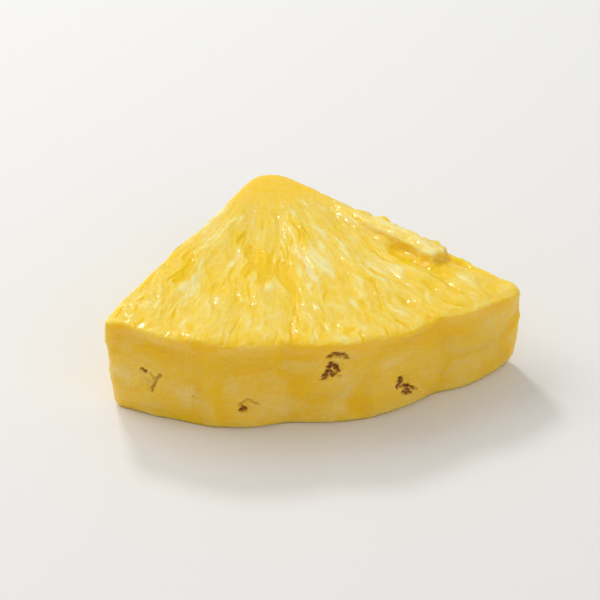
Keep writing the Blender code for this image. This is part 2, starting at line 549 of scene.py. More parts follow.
@dataclass
class BroadRelief:
    """The broad shape of the surface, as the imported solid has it."""

    sizes: SliceSizes = SliceSizes()
    strip: StripSizes = StripSizes()
    peel: PeelSizes = PeelSizes()
    wave_length: float = 0.0120
    wave_height: float = 0.00040
    furrow_arc: float = 0.0042
    furrow_length: float = 0.0180
    furrow_height: float = 0.00050

    @cached_property
    def middles(self) -> list[tuple[float, float]]:
        """Works out where the fruitlets are.

        Returns:
            The arc and height of each fruitlet's middle.
        """
        s = self.sizes
        places = self.peel.eyes + self.peel.cut_away
        return [(math.radians(b) * s.radius, s.thickness - depth * MM) for b, depth in places]

    def gaps(self, arc: float, height: float) -> list[float]:
        """Returns how far each fruitlet's middle is from a place of the peeled side, the nearest first."""
        return sorted(math.hypot(arc - x, height - z) for x, z in self.middles)

    def fruitlets(self, spot: Spot) -> float:
        """Measures the swollen fruitlets and the shallow pit at each eye.

        Args:
            spot: A place on the peeled side.

        Returns:
            How far the place stands out.
        """
        p = self.peel
        arc, height = spot.bearing * self.sizes.radius, spot.point.z
        warp = noise.noise_vector(Vector((arc, height, 0.0)) / p.warp_size) * p.warp
        straight = min(math.hypot(arc - x, height - z) for x, z in self.middles[: len(p.eyes)])
        gaps = self.gaps(arc + warp.x, height + warp.y)
        swell = p.swell * hump(gaps[0], p.reach)
        border = 0.35 * p.swell * hump(gaps[1] - gaps[0], 0.5 * p.reach)
        return swell - border - p.pit_depth * hump(straight, p.pit_radius)

    def furrows(self, spot: Spot) -> float:
        """Measures the radial furrows between the bundles of fibre.

        Args:
            spot: A place on the upper cut.

        Returns:
            The height of the furrow.
        """
        arc = spot.bearing * self.sizes.radius * 0.6
        place = Vector((arc / self.furrow_arc, spot.distance / self.furrow_length, 3.7))
        off_core = smooth_step(0.8, 1.6, spot.distance / self.sizes.core_radius)
        return self.furrow_height * noise.noise(place) * off_core

    def torn_strip(self, spot: Spot) -> Torn:
        """Measures the strip along the +X cut and the hollow that wanders beside it and ends past it.

        Args:
            spot: A place on the upper cut.

        Returns:
            How much of each the place has.
        """
        s = self.strip
        from_cut = spot.distance * math.sin(self.sizes.spread / 2 - spot.bearing)
        if from_cut > 2.5 * s.width or spot.distance > s.hollow_end:
            return Torn()
        along = (spot.distance - s.start) / (s.end - s.start)
        torn = s.fray * noise.noise(spot.point / s.fray_size)
        ends = 1.0 - smooth_step(s.end, s.end + s.step, spot.distance + torn)
        width = s.width * smooth_step(0.0, 0.6, along)
        wander = s.wander * noise.noise(Vector((spot.distance / s.wander_length, 0.5, 0.5)))
        ridge = smooth_step(0.0, 0.5, along) * ends * (1.0 - smooth_step(0.7, 1.0, from_cut / s.width))
        beside = hump(from_cut - width - 0.5 * s.hollow_width + wander, s.hollow_width)
        past = (1.0 - ends) * (1.0 - smooth_step(0.0, s.hollow_width, from_cut - width))
        there = smooth_step(s.hollow_start, s.hollow_start + s.hollow_run_out, spot.distance)
        there *= 1.0 - smooth_step(s.hollow_end - s.hollow_run_out, s.hollow_end, spot.distance)
        hollow = there * max(beside, 0.7 * past)
        place = (from_cut + 0.6 * wander) / s.width
        inner = smooth_step(0.16, 0.42, place) * (1.0 - smooth_step(0.78, 1.02, place))
        inner *= smooth_step(0.10, 0.60, along) * ends
        return Torn(s.height * ridge - s.hollow_depth * hollow, ridge, hollow, inner)

    def height(self, spot: Spot) -> float:
        """Measures the broad shape.

        Args:
            spot: The place.

        Returns:
            How far the place stands out of the plain wedge.
        """
        height = self.wave_height * noise.noise(spot.point / self.wave_length) * (1.0 - spot.base)
        height += spot.top * (self.furrows(spot) + self.torn_strip(spot).height)
        return height + spot.peel * self.fruitlets(spot)


def patchwork(patches: Iterable[Patch], bearing: float, radius: float, distance: float) -> float:
    """Sums the patches at a place.

    Args:
        patches: The patches.
        bearing: The place's bearing.
        radius: Its distance from the fruit's axis.
        distance: What is compared with the patches' own distance.

    Returns:
        Above 0 where it is juicy, below 0 where it is pale.
    """
    total = 0.0
    for patch in patches:
        aside = (bearing - math.radians(patch.bearing)) * radius / MM
        along = distance / MM - patch.distance
        if abs(aside) < patch.half_width * 1.6 and abs(along) < patch.half_length * PATCH_REACH:
            near = math.hypot(aside / patch.half_width, along / patch.half_length)
            total += patch.strength * (1.0 - smooth_step(0.25, 1.25, near))
    return total


class Layer(Enum):
    """The layers of fibres: how many there are to the radian, how far one runs, and a seed."""

    BROAD = (14.0, 9 * MM, 0.0)
    FIBRE = (33.0, 6 * MM, 11.3)
    HAIR = (75.0, 4 * MM, 23.9)
    WIDE_RIDGE = (24.0, 11 * MM, 37.1)
    FINE_RIDGE = (42.0, 8 * MM, 51.7)


@dataclass(frozen=True)
class ToneShares:
    """How much each part of the pattern changes the flesh's tone."""

    blotch: float = 0.22
    broad: float = 0.24
    fibre: float = 0.22
    hair: float = 0.12
    ridges: float = 0.24
    bundles: float = 0.95
    wall: float = 0.28
    juicy_patch: float = 1.75
    pale_patch: float = 1.2
    hollow: float = 1.05
    strip: float = 0.25
    strip_ridge: float = 1.15
    strip_fibre: float = 0.40
    peel: float = 1.2
    limit: float = 1.2


@dataclass(frozen=True)
class Pattern:
    """The fibres, cells, patches and torn parts at one place."""

    blotch: float
    broad: float
    fibre: float
    hair: float
    ridges: float
    bundles: float  # the ends of the core's fibres
    wall: float  # the walls between the juice cells
    patch: float  # above 0 juicy, below 0 pale
    film: float
    out: float  # 0 on the core, 1 away from it
    clear: float  # how clearly the fibres show
    torn: Torn
    hollow: float


@dataclass(frozen=True)
class Texture:
    """What one place of the surface looks like, for the material to read."""

    height: float
    tone: float  # -1 juicy and saturated, 1 pale fibre
    wet: float
    stain: float
    olive: float


@dataclass
class FineRelief:
    """The fibres, juicy pits, torn edges and eye marks, and what they do to the flesh's colour."""

    sizes: SliceSizes = SliceSizes()
    broad: BroadRelief = field(default_factory=BroadRelief)
    shares: ToneShares = ToneShares()
    rise: float = 0.20  # the fibres climb this much for each metre outwards
    seed: int = 11
    ring: float = 2.0  # millimetres
    rings: dict[int, list[Patch]] = field(default_factory=dict)
    films: dict[int, list[Patch]] = field(default_factory=dict)
    film_height: float = 0.09 * MM
    cord_height: float = 0.32 * MM
    hollow_fill: float = 0.45 * MM
    swell_height: float = 0.16 * MM
    fibre_height: float = 0.055 * MM
    hair_height: float = 0.028 * MM
    ridge_height: float = 0.060 * MM
    pit_depth: float = 0.16 * MM
    grain_height: float = 0.035 * MM
    grain_size: float = 0.7 * MM
    wall_height: float = 0.045 * MM
    cell_width: float = 0.95 * MM
    cell_length: float = 6.0 * MM
    mark_warp: float = 0.20  # millimetres
    mark_warp_size: float = 0.55 * MM
    mark_fray: float = 0.9  # as a share of the mark's width
    mark_fray_size: float = 0.34 * MM
    halo: float = 0.34  # the stain around a mark, as a share of its own
    fine_tear: tuple[float, float] = (0.75, 0.26)  # length and reach in millimetres, at the -X cut
    coarse_tear: tuple[float, float] = (2.1, 0.50)  # the same at the +X cut

    def climb(self, spot: Spot) -> float:
        """Returns how far above the fibre through the fruit's centre a place lies."""
        return spot.point.z - self.rise * spot.distance

    def strands(self, spot: Spot, layer: Layer) -> float:
        """Measures one layer of fibres.

        Args:
            spot: The place.
            layer: The layer.

        Returns:
            About -1 between its fibres and 1 on a fibre.
        """
        per_radian, length, seed = layer.value
        climb = self.climb(spot) / (ARC_RADIUS / per_radian)
        place = Vector((spot.bearing * per_radian, spot.distance / length + seed, 0.6 * climb + seed))
        return 1.8 * noise.noise(place)

    def ridges(self, spot: Spot, layer: Layer) -> float:
        """Returns 1 on a layer's thin, sharp fibres and 0 between them."""
        return (1.0 - min(1.0, 1.6 * abs(self.strands(spot, layer)))) ** 2

    def cell_wall(self, spot: Spot) -> float:
        """Measures the juice cells, which are long along the fibres.

        Args:
            spot: The place.

        Returns:
            1 on the wall between two cells and 0 inside a cell.
        """
        climb = self.climb(spot) / self.cell_width
        arc = spot.bearing * ARC_RADIUS / self.cell_width
        warp = 0.2 * noise.noise_vector(spot.point / (1.5 * MM))
        distances = noise.voronoi(Vector((arc, spot.distance / self.cell_length, climb)) + warp)[0]
        return 1.0 - smooth_step(0.0, 0.30, distances[1] - distances[0])

    def wander(self, spot: Spot) -> float:
        """Measures how the fibres stray from straight lines.

        Args:
            spot: The place.

        Returns:
            How far they stray, as a bearing.
        """
        size = 6 * MM
        place = Vector((spot.bearing * 9.0, spot.distance / size, spot.point.z / size))
        return 0.050 * noise.noise(place) + 0.012 * noise.noise(place * 3.1)

    def by_ring(self, patches: list[Patch]) -> dict[int, list[Patch]]:
        """Sorts patches by the rings of the slice that they reach.

        Args:
            patches: The patches.

        Returns:
            Each ring's patches.
        """
        rings: dict[int, list[Patch]] = {}
        for patch in patches:
            reach = PATCH_REACH * patch.half_length
            first, last = ((patch.distance + side * reach) // self.ring for side in (-1, 1))
            for ring in range(int(first), int(last) + 1):
                rings.setdefault(ring, []).append(patch)
        return rings

    def scatter(self) -> None:
        """Scatters short streaks among the patches of the upper cut, and films of juice over it."""
        dice = random.Random(self.seed)
        patches = list(PATCHES)
        for _ in range(FLECKS.count):
            distance = FLECKS.distance(dice)
            strength = dice.choice(FLECK_SIGNS) * dice.uniform(*FLECK_STRENGTH)
            width, length = FLECKS.size(dice)
            patches.append(Patch(dice.uniform(-40.0, 40.0), distance, width, length, strength))
        self.rings = self.by_ring(patches)
        films = []
        for _ in range(FILMS.count):
            distance = FILMS.distance(dice)
            width, length = FILMS.size(dice)
            films.append(Patch(dice.gauss(6.0, 18.0), distance, width, length, dice.uniform(0.5, 1.0)))
        self.films = self.by_ring(films)

    def eye_marks(self, spot: Spot) -> tuple[float, float, float]:
        """Measures the brown strokes of the eyes.

        Args:
            spot: A place on the peeled side.

        Returns:
            How far it is sunk in metres, how stained it is and how olive the stain is, both from 0 to 1.
        """
        scale = self.sizes.radius / MM
        warp = noise.noise_vector(spot.point / self.mark_warp_size) * self.mark_warp
        arc, depth = spot.bearing * scale + warp.x, spot.depth / MM + warp.y
        ragged = self.mark_fray * noise.noise(spot.point / self.mark_fray_size)
        sunk, stain, olive = 0.0, 0.0, 0.0
        for mark in MARKS:
            x0, y0 = math.radians(mark.start[0]) * scale, mark.start[1]
            x1, y1 = math.radians(mark.end[0]) * scale, mark.end[1]
            dx, dy = x1 - x0, y1 - y0
            t = min(max(((arc - x0) * dx + (depth - y0) * dy) / (dx * dx + dy * dy), 0.0), 1.0)
            gap = math.hypot(arc - x0 - t * dx, depth - y0 - t * dy)
            if gap < 2.0 * mark.width:
                sunk = max(sunk, mark.sunk * MM * hump(gap, 1.5 * mark.width))
                core = mark.stain * (1.0 - smooth_step(0.1, 1.6, gap / mark.width + ragged))
                halo = self.halo * mark.stain * (1.0 - smooth_step(0.6, 2.0, gap / mark.width))
                if max(core, halo) > stain:
                    stain, olive = max(core, halo), mark.olive
        return sunk, stain, olive

    def raggedness(self, spot: Spot) -> Vector:
        """Measures how the torn upper edges move a place.

        The -X cut's edge is finely torn, and the +X cut's edge is coarsely torn with a few deep notches.

        Args:
            spot: The place.

        Returns:
            The move, which is level and across the nearer cut.
        """
        side = 1.0 if spot.bearing > 0.0 else -1.0
        half = self.sizes.spread / 2
        from_cut = spot.distance * math.sin(half - abs(spot.bearing)) / MM
        near = hump(from_cut, 2.2) * hump(spot.depth, 4.2 * MM) * smooth_step(6.0, 14.0, spot.distance / MM)
        near *= 1.0 - 0.7 * spot.peel
        if near <= 0.0:
            return Vector()
        run = (spot.distance - 0.8 * spot.depth) / MM
        size, reach = self.fine_tear if side < 0.0 else self.coarse_tear
        coarse = noise.noise(Vector((run / size, 2.0, 5.0)))
        fine = noise.noise(Vector((run / size * 2.7, 7.0, 1.0)))
        move = reach * (coarse + 0.35 * fine)
        if side > 0.0:
            move -= sum(depth * hump(run - place, half_length) for place, depth, half_length in NOTCHES)
        return sideways(side * half) * side * (move * near * MM)

    def scattered(self, rings: dict[int, list[Patch]], spot: Spot) -> float:
        """Returns the sum of a place's patches, which lie on the upper cut alone."""
        near = rings.get(int(spot.distance / MM // self.ring), []) if spot.top > 0.0 else []
        return patchwork(near, spot.bearing, spot.distance, spot.distance)

    def pattern(self, spot: Spot) -> Pattern:
        """Measures the fibres, cells, patches and torn parts.

        Args:
            spot: The place.

        Returns:
            How much of each the place has.
        """
        bent = spot.turned(spot.bearing + self.wander(spot))
        point = spot.point
        blotch = Vector((spot.bearing * 7.0, spot.distance / (6 * MM), point.z / (5 * MM)))
        upright = Vector((point.x, point.y, point.z / 9.0))
        thin = self.ridges(bent, Layer.WIDE_RIDGE) + 0.7 * self.ridges(bent, Layer.FINE_RIDGE)
        patch = self.scattered(self.rings, bent) * spot.top
        patch *= self.shares.juicy_patch if patch > 0.0 else self.shares.pale_patch
        torn = self.broad.torn_strip(spot)
        return Pattern(
            blotch=1.6 * noise.noise(blotch),
            broad=self.strands(bent, Layer.BROAD),
            fibre=self.strands(bent, Layer.FIBRE),
            hair=self.strands(bent, Layer.HAIR),
            ridges=thin - 0.45,
            bundles=noise.noise(upright / (0.55 * MM)),
            wall=self.cell_wall(bent) - 0.35,
            patch=patch,
            film=min(1.0, self.scattered(self.films, bent)) * spot.top,
            out=smooth_step(0.75, 1.9, spot.distance / self.sizes.core_radius),
            clear=(1.0 - 0.75 * spot.peel) * (1.0 - 0.1 * torn.strip * spot.top),
            torn=torn,
            hollow=torn.hollow * (1.0 - torn.ridge),
        )

    def tone(self, spot: Spot, here: Pattern) -> float:
        """Works out a place's tone.

        Args:
            spot: The place.
            here: Its pattern.

        Returns:
            From -1, juicy, to 1, pale fibre.
        """
        share = self.shares
        streaks = share.blotch * here.blotch + share.broad * here.broad + share.fibre * here.fibre
        streaks = streaks + share.hair * here.hair + share.ridges * here.ridges
        tone = (0.25 + 0.75 * here.out) * here.clear * streaks
        ridge = (share.strip_ridge + share.strip_fibre * here.fibre) * here.torn.ridge
        tone -= here.patch + spot.top * (share.hollow * here.hollow + share.strip * here.torn.strip - ridge)
        tone += spot.peel * (share.peel * self.peel_tone(spot) - 0.05)
        tone += here.out * (1.0 - 0.2 * spot.peel) * share.wall * here.wall
        return tone + share.bundles * (1.0 - here.out) * here.bundles

    def height(self, spot: Spot, here: Pattern, juicy: float) -> float:
        """Works out how far the fine relief stands out.

        Args:
            spot: The place.
            here: Its pattern.
            juicy: How juicy it is, from 0 to 1.

        Returns:
            The height.
        """
        fibres = self.fibre_height * here.fibre + self.hair_height * here.hair
        height = here.out * here.clear * (fibres + self.ridge_height * here.ridges)
        height *= 1.0 + 0.8 * here.torn.strip * spot.top
        height += here.out * here.clear * self.swell_height * (0.6 * here.blotch + 0.4 * here.broad)
        walls = here.out * (1.0 - 0.4 * spot.peel) * self.wall_height * here.wall
        height += (1.0 - here.out) * self.hair_height * here.bundles + walls
        height -= self.pit_depth * juicy * (1.0 - here.hollow) * (1.0 - spot.peel)
        grain = self.grain_height * (1.0 + 1.6 * here.hollow * spot.top)
        height += grain * noise.noise(spot.point / self.grain_size)
        return height + spot.top * (self.cord_height * here.torn.ridge + self.hollow_fill * here.hollow)

    def at(self, spot: Spot) -> Texture:
        """Measures the fine height and the look of a place.

        Args:
            spot: The place.

        Returns:
            The height, and what the material reads.
        """
        here = self.pattern(spot)
        tone = self.tone(spot, here)
        juicy = smooth_step(0.25, 0.95, -tone) * here.out
        sunk, stain, olive = self.eye_marks(spot) if spot.peel > 0.05 else (0.0, 0.0, 0.0)
        height = self.height(spot, here, juicy) + (self.film_height * here.film - sunk * spot.peel)
        height *= spot.lift
        limit = self.shares.limit
        return Texture(
            height=height * (1.0 - spot.base),
            tone=min(max(tone, -limit), limit),
            wet=min(1.0, max(here.film, 0.8 * juicy + 0.5 * here.hollow * spot.top)),
            stain=min(stain, 1.0) * spot.peel,
            olive=olive,
        )

    def peel_tone(self, spot: Spot) -> float:
        """Works out the tone of the pale fruitlets and of the clear, juicy flesh between them.

        Args:
            spot: A place on the peeled side.

        Returns:
            The tone.
        """
        p = self.broad.peel
        arc, height = spot.bearing * self.sizes.radius, spot.point.z
        warp = noise.noise_vector(Vector((arc, height, 0.0)) / (4 * MM)) * 1.6 * MM
        gaps = self.broad.gaps(arc + warp.x, height + warp.y)
        clear = hump(gaps[1] - gaps[0], 0.34 * p.reach)
        clear *= 0.3 + 0.7 * smooth_step(-0.2, 0.3, noise.noise(Vector((arc, height, 8.3 * MM)) / (5 * MM)))
        mottle = noise.noise(Vector((arc / (5.2 * MM), height / (3.6 * MM), 4.1)))
        streak = min(noise.noise(Vector((arc / (6.0 * MM), height / (1.0 * MM), 9.7))), 0.12)
        knife = hump(spot.depth, 4.5 * MM)
        bearing, depth = spot.bearing + 12.0 * warp.z, spot.depth + 0.5 * warp.y
        patch = patchwork(PEEL_PATCHES, bearing, self.sizes.radius, depth)
        return 0.1 - patch - 0.6 * clear + 0.6 * mottle + (0.15 + 0.55 * knife) * streak


# ----------------------------------------
# Finishes


class Nodes:
    """A material's nodes, added and linked in short calls."""

    def __init__(self, name: str) -> None:
        """Makes an empty material with a Principled shader and its output.

        Args:
            name: The material's name.
        """
        self.material = bpy.data.materials.new(name)
        self.material.use_nodes = True
        self.tree = self.material.node_tree
        self.shader = self.tree.nodes["Principled BSDF"]

    def add(self, kind: str, inputs: dict | None = None, **settings: object) -> Node:
        """Adds a node.

        Args:
            kind: The node's type.
            inputs: Values or sockets for its inputs, by name or number.
            **settings: The node's own settings.

        Returns:
            The node.
        """
        node = self.tree.nodes.new(kind)
        for setting, choice in settings.items():
            setattr(node, setting, choice)
        for key, value in (inputs or {}).items():
            self.feed(node.inputs[key], value)
        return node

    def feed(self, socket: NodeSocket, value: object) -> None:
        """Links a socket, or sets its value.

        Args:
            socket: The socket.
            value: Another socket, or a value. A colour is made opaque.
        """
        if isinstance(value, NodeSocket):
            self.tree.links.new(value, socket)
        else:
            socket.default_value = (*value, 1.0) if socket.type == "RGBA" else value

    def shade(self, inputs: dict[str, object]) -> None:
        """Feeds the Principled shader's inputs."""
        for name, value in inputs.items():
            self.feed(self.shader.inputs[name], value)

    def attribute(self, name: str, output: str = "Fac") -> NodeSocket:
        """Returns an attribute of the piece's mesh."""
        return self.add("ShaderNodeAttribute", attribute_name=name).outputs[output]

    def coordinates(self) -> NodeSocket:
        """Returns the piece's own coordinates."""
        return self.add("ShaderNodeTexCoord").outputs["Object"]

    def math(self, operation: str, *values: object) -> NodeSocket:
        """Returns the result of a Math node."""
        return self.add("ShaderNodeMath", dict(enumerate(values)), operation=operation).outputs[0]

    def plus(self, total: object, value: object, share: float) -> NodeSocket:
        """Returns a total with a share of a value added."""
        return self.math("MULTIPLY_ADD", value, share, total)

    def noise(
        self, place: NodeSocket, width: float, length: float | None = None, detail: float = 2.0
    ) -> NodeSocket:
        """Adds noise stretched along Y.

        Args:
            place: The coordinates that it reads.
            width: The size of its features along X and Z, in millimetres.
            length: Their size along Y, the width if it isn't given.
            detail: How many finer layers it has.

        Returns:
            The noise, from 0 to 1.
        """
        sizes = (width * MM, (length or width) * MM, width * MM)
        scale = tuple(1.0 / size for size in sizes)
        mapped = self.add("ShaderNodeMapping", {"Vector": place, "Scale": scale}).outputs[0]
        inputs = {"Vector": mapped, "Scale": 1.0, "Detail": detail}
        return self.add("ShaderNodeTexNoise", inputs).outputs["Fac"]

    def bump(self, height: NodeSocket, strength: object, distance: float) -> NodeSocket:
        """Returns a normal that a height bends; the distance is in millimetres."""
        inputs = {"Height": height, "Strength": strength, "Distance": distance * MM}
        return self.add("ShaderNodeBump", inputs).outputs[0]

    def blend(self, share: object, first: object, second: object) -> NodeSocket:
        """Returns two colours mixed by a share."""
        inputs = {"Factor": share, 6: first, 7: second}
        return self.add("ShaderNodeMix", data_type="RGBA", inputs=inputs).outputs[2]

    def ramp(self, value: NodeSocket, stops: Iterable[tuple[float, Colour]]) -> NodeSocket:
        """Reads a colour off a ramp.

        Args:
            value: Where on the ramp, from 0 to 1.
            stops: Each stop's place and colour.

        Returns:
            The colour.
        """
        node = self.add("ShaderNodeValToRGB", {"Fac": value})
        elements = node.color_ramp.elements
        stops = tuple(stops)
        for _ in stops[len(elements) :]:
            elements.new(0.5)
        for element, (place, colour) in zip(elements, stops):
            element.position = place
            element.color = (*colour, 1.0)
        return node.outputs["Color"]

    def limits(self, value: object, span: tuple[float, float], result: tuple[float, float]) -> NodeSocket:
        """Returns a value mapped from one range to another, and held there."""
        inputs = dict(enumerate((value, *span, *result)))
        return self.add("ShaderNodeMapRange", inputs, clamp=True).outputs[0]


@dataclass(frozen=True)
class FleshFinish:
    """Wet, translucent yellow flesh with pale fibres."""

    deep: Colour = linear(243, 200, 2)
    juicy: Colour = linear(247, 203, 24)
    mean: Colour = linear(252, 209, 72)
    pale: Colour = linear(254, 216, 106)
    fibre: Colour = linear(255, 230, 158)
    core: Colour = linear(239, 196, 32)
    # Partly the peeled flesh's own golden colour and partly painted shade: darker and more amber than the cut,
    # as the shaded side looks with light bounced through the flesh.
    peel: Colour = linear(247, 187, 30)
    browns: tuple[Colour, ...] = (linear(204, 142, 36), linear(168, 100, 18), linear(126, 66, 4))
    olives: tuple[Colour, ...] = (linear(206, 160, 30), linear(178, 126, 10), linear(150, 100, 4))
    tone_stops: tuple[float, ...] = (0.0, 0.28, 0.5, 0.72, 1.0)
    stain_stops: tuple[float, ...] = (0.2, 0.55, 0.95)
    scatter: tuple[float, float, float] = (1.0, 0.90, 0.16)
    scatter_scale: float = 0.0018
    flesh_index: float = 1.38
    film_index: float = 1.36
    film_roughness: float = 0.06
    shine: float = 0.20
    grain_layers: tuple[tuple[float, ...], ...] = ((0.42, 4.5, 3.0, 0.36), (0.16, 1.8, 2.0, 0.16))
    """Each layer of fine fibres: width and length in millimetres, detail and share of the tone."""

    vein_layers: tuple[tuple[float, float], ...] = ((0.70, 0.15), (0.40, 0.11))
    """Each layer of veins: width in millimetres and share of the tone."""


class FleshMaterial(Nodes):
    """The nodes of the wet flesh."""

    def __init__(self, finish: FleshFinish) -> None:
        """Reads the mesh's attributes and the coordinates that several methods use.

        Args:
            finish: The flesh's colours and shine.
        """
        super().__init__("wet_flesh")
        self.finish = finish
        self.grain = self.attribute("grain", "Vector")
        self.place = self.coordinates()
        self.core = self.attribute("core")
        self.peel = self.attribute("peel")
        self.wet = self.attribute("wet")
        self.off_core = self.limits(self.core, (0.0, 1.0), (1.0, 0.1))

    def veins(self, size: float) -> NodeSocket:
        """Draws thin, sharp lines along the fibres.

        Args:
            size: The room between the lines, in millimetres.

        Returns:
            1 on a line and 0 beside it.
        """
        wave = self.noise(self.grain, size, 14.0 * size, 0.0)
        away = self.math("ABSOLUTE", self.math("SUBTRACT", wave, 0.5))
        return self.limits(away, (0.0, 0.045), (1.0, 0.0))

    def tone(self) -> NodeSocket:
        """Adds finer grain to the mesh's own tone.

        Returns:
            The tone, from 0 juicy to 1 pale fibre.
        """
        tone = self.math("MULTIPLY_ADD", self.attribute("tone"), 0.44, 0.47)
        tone = self.plus(tone, self.math("SUBTRACT", self.noise(self.place, 1.1), 0.5), 0.24)
        for width, length, detail, share in self.finish.grain_layers:
            centred = self.math("SUBTRACT", self.noise(self.grain, width, length, detail), 0.5)
            tone = self.plus(tone, self.math("MULTIPLY", centred, self.off_core), share)
        for size, share in self.finish.vein_layers:
            tone = self.plus(tone, self.math("MULTIPLY", self.veins(size), self.off_core), share)
        dots = self.add("ShaderNodeTexVoronoi", {"Vector": self.place, "Scale": 1.0 / (0.85 * MM)})
        ends = self.limits(dots.outputs["Distance"], (0.12, 0.42), (1.0, 0.0))
        return self.plus(tone, self.math("MULTIPLY", ends, self.peel), 0.22)

    def stained(self, colour: NodeSocket) -> NodeSocket:
        """Lays the eyes' brown and olive marks over a colour.

        Args:
            colour: The flesh's colour.

        Returns:
            The marked colour.
        """
        stain = self.attribute("stain")
        speckle = self.math("MULTIPLY_ADD", self.noise(self.place, 0.22), 0.7, -0.35)
        darkness = self.math("ADD", stain, speckle)
        brown, olive = (
            self.ramp(darkness, zip(self.finish.stain_stops, hues))
            for hues in (self.finish.browns, self.finish.olives)
        )
        mark = self.blend(self.attribute("olive"), brown, olive)
        share = self.limits(darkness, (0.05, 0.65), (0.0, 1.0))
        share = self.math("MULTIPLY", share, self.limits(stain, (0.02, 0.2), (0.0, 1.0)))
        return self.blend(share, colour, mark)

    def colour(self) -> NodeSocket:
        """Mixes the flesh's colour from its tone, the core, the peeled side, whose darker amber is partly
        painted shade, and the marks.

        Returns:
            The colour.
        """
        f = self.finish
        colour = self.ramp(self.tone(), zip(f.tone_stops, (f.deep, f.juicy, f.mean, f.pale, f.fibre)))
        # The peel blend lays on both the peeled side's own colour and its painted shade.
        for where, share, hue in ((self.core, 0.5, f.core), (self.peel, 0.42, f.peel)):
            colour = self.blend(self.math("MULTIPLY", where, share), colour, hue)
        return self.stained(colour)

    def fine_normal(self) -> NodeSocket:
        """Bends the normal by the finest grain, which is finer than the mesh.

        Returns:
            The normal.
        """
        fine = self.plus(self.noise(self.grain, 0.20, 2.0, 3.0), self.veins(0.70), 0.35)
        fine = self.math("MULTIPLY", fine, self.off_core)
        height = self.plus(fine, self.noise(self.place, 0.35), 0.7)
        return self.bump(height, self.math("MULTIPLY_ADD", self.wet, -0.5, 0.8), 0.14)

    def build(self) -> Material:
        """Feeds the shader.

        Returns:
            The finished material.
        """
        roughness = self.math("MULTIPLY_ADD", self.noise(self.place, 2.4), 0.35, 0.26)
        film = self.limits(self.noise(self.grain, 1.0, 4.0), (0.40, 0.58), (0.12, 0.8))
        self.shade(
            {
                "Base Color": self.colour(),
                "Subsurface Weight": 1.0,
                "Subsurface Radius": self.finish.scatter,
                "Subsurface Scale": self.finish.scatter_scale,
                "IOR": self.finish.flesh_index,
                "Roughness": self.plus(roughness, self.wet, -0.16),
                "Specular IOR Level": self.finish.shine,
                "Normal": self.fine_normal(),
                "Coat Weight": self.math("MAXIMUM", film, self.math("MULTIPLY", self.wet, 0.65)),
                "Coat Roughness": self.finish.film_roughness,
                "Coat IOR": self.finish.film_index,
                "Coat Normal": self.bump(self.noise(self.place, 0.9, detail=1.0), 0.5, 0.2),
            }
        )
        return self.material


@dataclass(frozen=True)
class SpeckFinish:
    """Dry brown scraps of an eye's bracts."""

    light: Colour = linear(172, 106, 20)
    dark: Colour = linear(124, 64, 3)

    def material(self) -> Material:
        """Builds the material.

        Returns:
            The material.
        """
        nodes = Nodes("dry_eye")
        patches = nodes.noise(nodes.coordinates(), 0.3)
        colour = nodes.ramp(patches, ((0.35, self.dark), (0.65, self.light)))
        nodes.shade({"Base Color": colour, "Roughness": 0.55, "Specular IOR Level": 0.15})
        return nodes.material


@dataclass(frozen=True)
class FibreFinish:
    """A pale thread of fibre."""

    colour: Colour = linear(255, 230, 140)

    def material(self) -> Material:
        """Builds the material.

        Returns:
            The material.
        """
        nodes = Nodes("pale_fibre")
        nodes.shade({"Base Color": self.colour, "Roughness": 0.35})
        return nodes.material


# ----------------------------------------
# Pieces


def finished(name: str, bm: BMesh, material: Material) -> Object:
    """Makes a piece of a bmesh, which is freed.

    Args:
        name: The piece's name.
        bm: Its mesh.
        material: Its material.

    Returns:
        The piece's object.
    """
    mesh = mesh_of(name, bm)
    mesh.shade_smooth()
    mesh.materials.append(material)
    return placed(name, mesh)


